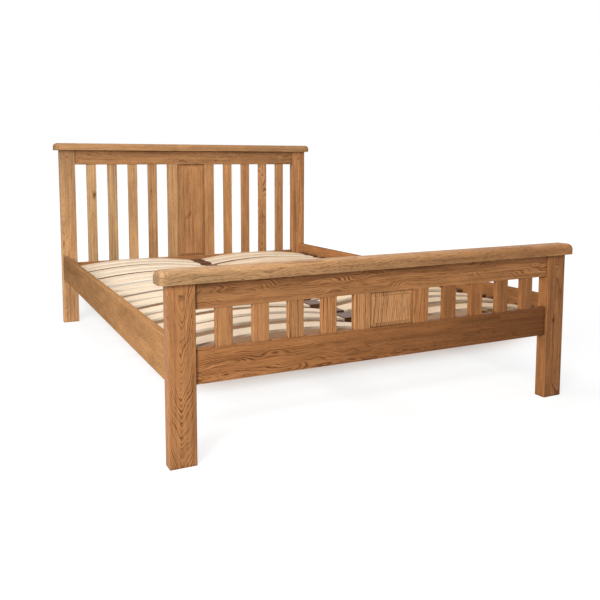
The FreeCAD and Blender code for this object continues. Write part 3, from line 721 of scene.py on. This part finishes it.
# Tone and warmth at the low and the high end of boards that change along their length. The lower end of
# headboard_post_left is painted light where the side rail shades it, and footboard_bottom_rail darkens
# towards its right end, partly as painted shade and partly in its own colour.
END_SHADES = {
    "footboard_cap": ((1.06, -0.29), (1.11, 0.0)),
    "footboard_top_rail": ((0.9, 0.0), (1.18, 0.03)),
    "footboard_bottom_rail": ((1.08, 0.06), (0.46, 0.25)),
    "side_rail_left": ((1.15, -0.11), (1.0, -0.13)),
    "side_rail_right": ((1.05, 0.02), (1.1, 0.02)),
    "headboard_post_left": ((1.75, -0.17), (0.8, -0.22)),
    "post_pegs": ((0.76, 0.0), (1.05, 0.05)),
}

# Figure of single boards
FIGURES = {
    "footboard_cap": {"ripple": 0.03, "ring": 0.007, "tilt": -0.1, "figure": 0.4, "lean_u": -0.9,
                      "fleck": 0.2, "streak": 0.6},
    "footboard_post_left": {"across": 0.0, "stray": 0.0, "depth": 0.02, "tilt": 0.0, "taper": -0.19,
                            "ring": 0.0042, "wave": 0.045, "ripple": 0.014, "figure": 0.8},
    "footboard_top_rail": {"figure": 1.25, "across": -0.012, "depth": 0.03, "tilt": 0.03, "wave": 0.06,
                           "ripple": 0.045, "ring": 0.0055, "stave_width": 10.0, "stave_length": 10.0,
                           "lean_u": -0.15, "lean_v": 16.0, "knot_u": -0.5, "knot_v": 0.014,
                           "knot_w": -0.0145, "knot_size": 0.017, "knot_shade": 0.2},
    "footboard_bottom_rail": {"figure": 0.27, "across": 0.03, "wave": 0.04, "ripple": 0.03, "ring": 0.005,
                              "stave_start": 0.695, "stave_length": 0.6, "stave_stagger": 0.055,
                              "lean_u": -8.0, "lean_v": -40.0, "spread": 0.0},
    "footboard_post_right": {"figure": 0.9, "ripple": 0.012, "ring": 0.004, "knot_u": 0.024,
                             "knot_v": -0.009, "knot_w": -0.0225, "knot_size": 0.006},
    "footboard_panel": {"across": -0.05, "depth": 0.018, "tilt": 0.0, "taper": 0.09, "ring": 0.008,
                        "figure": 0.9, "wave": 0.01, "streak": 0.6},
    "footboard_slat_left_1": {"figure": 0.2},
    "footboard_slat_left_2": {"figure": 0.15},
    "footboard_slat_left_3": {"figure": 0.6, "ring": 0.006, "streak": 1.5, "ripple": 0.015},
    "footboard_slat_left_4": {"figure": 1.0, "ring": 0.006, "streak": 1.6},
    "footboard_panel_stile_left": {"figure": 0.9, "ring": 0.006, "streak": 1.5},
    "footboard_panel_stile_right": {"figure": 0.8, "ring": 0.005, "streak": 1.4, "ripple": 0.012},
    "headboard_top_rail": {"ripple": 0.04, "ring": 0.008},
    "headboard_slat_left_1": {"knot_u": 0.107, "knot_v": 0.014, "knot_w": -0.0085, "knot_size": 0.011,
                              "streak": 1.5},
    "headboard_slat_left_2": {"streak": 1.7},
    "headboard_slat_left_4": {"streak": 1.8, "figure": 0.6, "ring": 0.008},
    "headboard_slat_right_2": {"figure": 1.6, "ripple": 0.04, "ring": 0.009, "tilt": 0.1},
    "headboard_post_right": {"streak": 2.0},
    "headboard_panel": {"streak": 1.4, "ring": 0.009, "ripple": 0.02},
}

# Where the pith lies across a board is drawn at random, unless its figure says
PITH_SEED = 5
PITH_REACH = 0.02


def board_kind(node):
    """The kind of oak board a node is."""
    return next(kind for kind in BOARD_KINDS if kind in node)


def shades_of(node):
    """The shades of a board's two ends."""
    return END_SHADES.get(node) or (SHADES.get(node, PLAIN_SHADE),) * 2


def dress_oak():
    """Each oak board with a figure of its own."""
    draw = random.Random(PITH_SEED)
    for number, node in enumerate(sorted(name for name in nodes if slots[name] == "oak")):
        axes, settings = BOARD_KINDS[board_kind(node)]
        own = {"seed": number + 1, "across": draw.uniform(-PITH_REACH, PITH_REACH), **settings,
               **FIGURES.get(node, {})}
        sheen = SIDE_SHEEN if "side_rail" in node else WOOD_SHEEN
        dress(node, timber(node, "oak", axes, own, shades_of(node), sheen))


# Hidden softwood bearers and turned dowels

BEARER = {"ring": 0.004, "figure": 0.8, "pore": 0.0, "depth": 0.04, "tilt": 0.01}
DOWEL = {"ring": 0.0025, "figure": 0.4, "pore": 0.3, "depth": 0.03}
HIDDEN_WOOD = {
    "slat_ledger_left": ("pine", "yzx", BEARER),
    "slat_ledger_right": ("pine", "yzx", BEARER),
    "centre_rail": ("pine", "yzx", BEARER),
    "side_rail_dowels": ("beech", "yzx", DOWEL),
    "cap_dowels": ("beech", "zxy", DOWEL),
}


def dress_hidden_wood():
    """Plain wood for what is out of sight."""
    for node, (kind, axes, settings) in HIDDEN_WOOD.items():
        dress(node, timber(node, kind, axes, settings, shades_of(node)))


# Birch slats, laid up from thin plies that follow the bow. To the right of the bed they are warmer.

BOWED_ROW = "sprung_slats_row_1"
BOW_CROWN = 0.032
PLY = 0.0016
GLUE_SHARE = 0.12
WARM_SLATS = (-0.3, 0.5)
BIRCH_LIGHT = from_srgb(217, 198, 175)
BIRCH_LIGHT_WARM = from_srgb(225, 198, 165)
BIRCH_DARK = from_srgb(207, 182, 152)
BIRCH_DARK_WARM = from_srgb(215, 181, 143)
# The ply edges are painted lighter than the faces: painted light
BIRCH_EDGE_PAINTED_LIGHT = from_srgb(240, 226, 204)
GLUE_LINE = from_srgb(205, 176, 142)
BIRCH_GRAIN_CELLS = (3, 160, 160)
BIRCH_GRAIN_RANGE = (0, 0.3)
BIRCH_FLAME_CELLS = (1.2, 26, 26)
BIRCH_FLAME_RANGE = (0, 0.3)
CROSS_PLY_SHADE = 0.12
BIRCH_TONE_CELLS = (0.7, 5, 5)
BIRCH_TONE_RANGE = (0.94, 1.03)
BIRCH_EDGE_RANGE = (0.4, 0.8)
BIRCH_ROUGHNESS = (0.42, 0.54)
BIRCH_BUMP = 0.1
BIRCH_SHEEN = 0.05


def bow_of(node):
    """Middle, height of the centre and inner radius of the bow of a row of slats."""
    corners = [corner.co for corner in nodes[node].data.vertices]
    sideways = [abs(corner.x) for corner in corners]
    inner, outer = min(sideways), max(sideways)
    tip = min(corner.z for corner in corners)
    chord = outer - inner
    radius = chord * chord / (8 * BOW_CROWN) + BOW_CROWN / 2
    return (inner + outer) / 2, tip + BOW_CROWN - radius, radius


def ply_count(tree, x, z):
    """Plies, counted out from the inner face of the bow, with half a ply before the first glue line."""
    middle, centre_z, radius = bow_of(BOWED_ROW)
    off_x = less(tree, maths(tree, "ABSOLUTE", x), middle)
    reach = maths(tree, "SQRT", squares(tree, off_x, less(tree, z, centre_z)))
    return total(tree, maths(tree, "DIVIDE", less(tree, reach, radius), PLY), HALF_CELL)


def birch():
    """Pale lacquered birch ply with the edges of its plies, painted lighter than its faces as painted light.
    """
    material = new_material("birch")
    tree = material.node_tree
    place = object_place(tree)
    x, _, z = parts_of(tree, place)
    ply = ply_count(tree, x, z)
    cross_ply = maths(tree, "MODULO", maths(tree, "FLOOR", ply), 2)
    glue = maths(tree, "LESS_THAN", maths(tree, "FRACT", ply), GLUE_SHARE)
    grain = noise_value(tree, place, BIRCH_GRAIN_CELLS)
    flame = noise_value(tree, place, BIRCH_FLAME_CELLS)
    tone = noise_value(tree, place, BIRCH_TONE_CELLS)
    darkness = total(tree, swing(tree, grain, *BIRCH_GRAIN_RANGE), swing(tree, flame, *BIRCH_FLAME_RANGE),
                     product(tree, cross_ply, CROSS_PLY_SHADE))
    warm = eased(tree, x, *WARM_SLATS)
    face = mixed(tree, darkness, mixed(tree, warm, BIRCH_LIGHT, BIRCH_LIGHT_WARM),
                 mixed(tree, warm, BIRCH_DARK, BIRCH_DARK_WARM))
    on_edge = remap(tree, maths(tree, "ABSOLUTE", facing(tree)[AXIS["y"]]), *BIRCH_EDGE_RANGE, 0, 1)
    both = mixed(tree, on_edge, face, mixed(tree, glue, BIRCH_EDGE_PAINTED_LIGHT, GLUE_LINE))
    surface(tree, scaled(tree, both, swing(tree, tone, *BIRCH_TONE_RANGE)),
            swing(tree, grain, *BIRCH_ROUGHNESS), grain, BIRCH_BUMP, BIRCH_SHEEN)
    return material


# Moulded plastic

BROWN = from_srgb(84, 52, 36)
BLACK = from_srgb(36, 36, 38)
MOULD_CELLS = (900, 900, 900)
MOULD_RANGE = (0.95, 1.05)
CLOUD_CELLS = (30, 30, 30)
CLOUD_RANGE = (0.9, 1.1)
MOULD_ROUGHNESS = (0.4, 0.52)
MOULD_BUMP = 0.3
MOULD_SHEEN = 0.5


def plastic(name, colour):
    """Moulded plastic with a fine matt grain and a painted highlight along its edges."""
    material = new_material(name)
    tree = material.node_tree
    place = object_place(tree)
    grain = noise_value(tree, place, MOULD_CELLS)
    cloud = noise_value(tree, place, CLOUD_CELLS)
    level = product(tree, swing(tree, cloud, *CLOUD_RANGE), swing(tree, grain, *MOULD_RANGE), painted_edge_highlight(tree))
    surface(tree, scaled(tree, colour[:3], level), swing(tree, cloud, *MOULD_ROUGHNESS), grain,
            MOULD_BUMP, MOULD_SHEEN)
    return material


# Plated steel

ZINC = (0.62, 0.62, 0.6)
SPANGLE_CELLS = (160, 160, 160)
SPANGLE_RANGE = (0.9, 1.05)
SPANGLE_ROUGHNESS = (0.28, 0.38)
SCRATCH_CELLS = (900, 60, 900)
SCRATCH_RANGE = (0.95, 1.05)
SCRATCH_ROUGHNESS = (-0.04, 0.06)
STEEL_BUMP = 0.1
STEEL_SHEEN = 0.5


def plated_steel():
    """Zinc-plated steel with a faint spangle and rubbing marks."""
    material = new_material("steel")
    tree = material.node_tree
    place = object_place(tree)
    cells = vector_maths(tree, "MULTIPLY", place, SPANGLE_CELLS)
    spangle = add(tree, "ShaderNodeTexVoronoi", {"Vector": cells, "Scale": 1}).outputs["Color"]
    facet = parts_of(tree, spangle)[0]
    scratch = noise_value(tree, place, SCRATCH_CELLS)
    level = product(tree, remap(tree, facet, 0, 1, *SPANGLE_RANGE), swing(tree, scratch, *SCRATCH_RANGE))
    roughness = total(tree, remap(tree, facet, 0, 1, *SPANGLE_ROUGHNESS),
                      swing(tree, scratch, *SCRATCH_ROUGHNESS))
    shader = surface(tree, scaled(tree, ZINC, level), roughness, scratch, STEEL_BUMP, STEEL_SHEEN)
    shader.inputs["Metallic"].default_value = 1
    return material


def dress_the_rest():
    """Slats, holders, foot and fixings, each slot with one finish."""
    finishes = {"birch": birch(), "brown_plastic": plastic("brown_plastic", BROWN),
                "black_plastic": plastic("black_plastic", BLACK), "steel": plated_steel()}
    for node, slot in slots.items():
        if slot in finishes:
            dress(node, finishes[slot])


bpy.context.scene.view_settings.view_transform = "Standard"
make_camera()
make_world()
make_floor()
make_lamp("key", KEY_PLACE, KEY_TARGET, KEY_SIZE, KEY_POWER)
make_lamp("top", TOP_PLACE, TOP_TARGET, TOP_SIZE, TOP_POWER)
make_wood_group()
dress_oak()
dress_hidden_wood()
dress_the_rest()
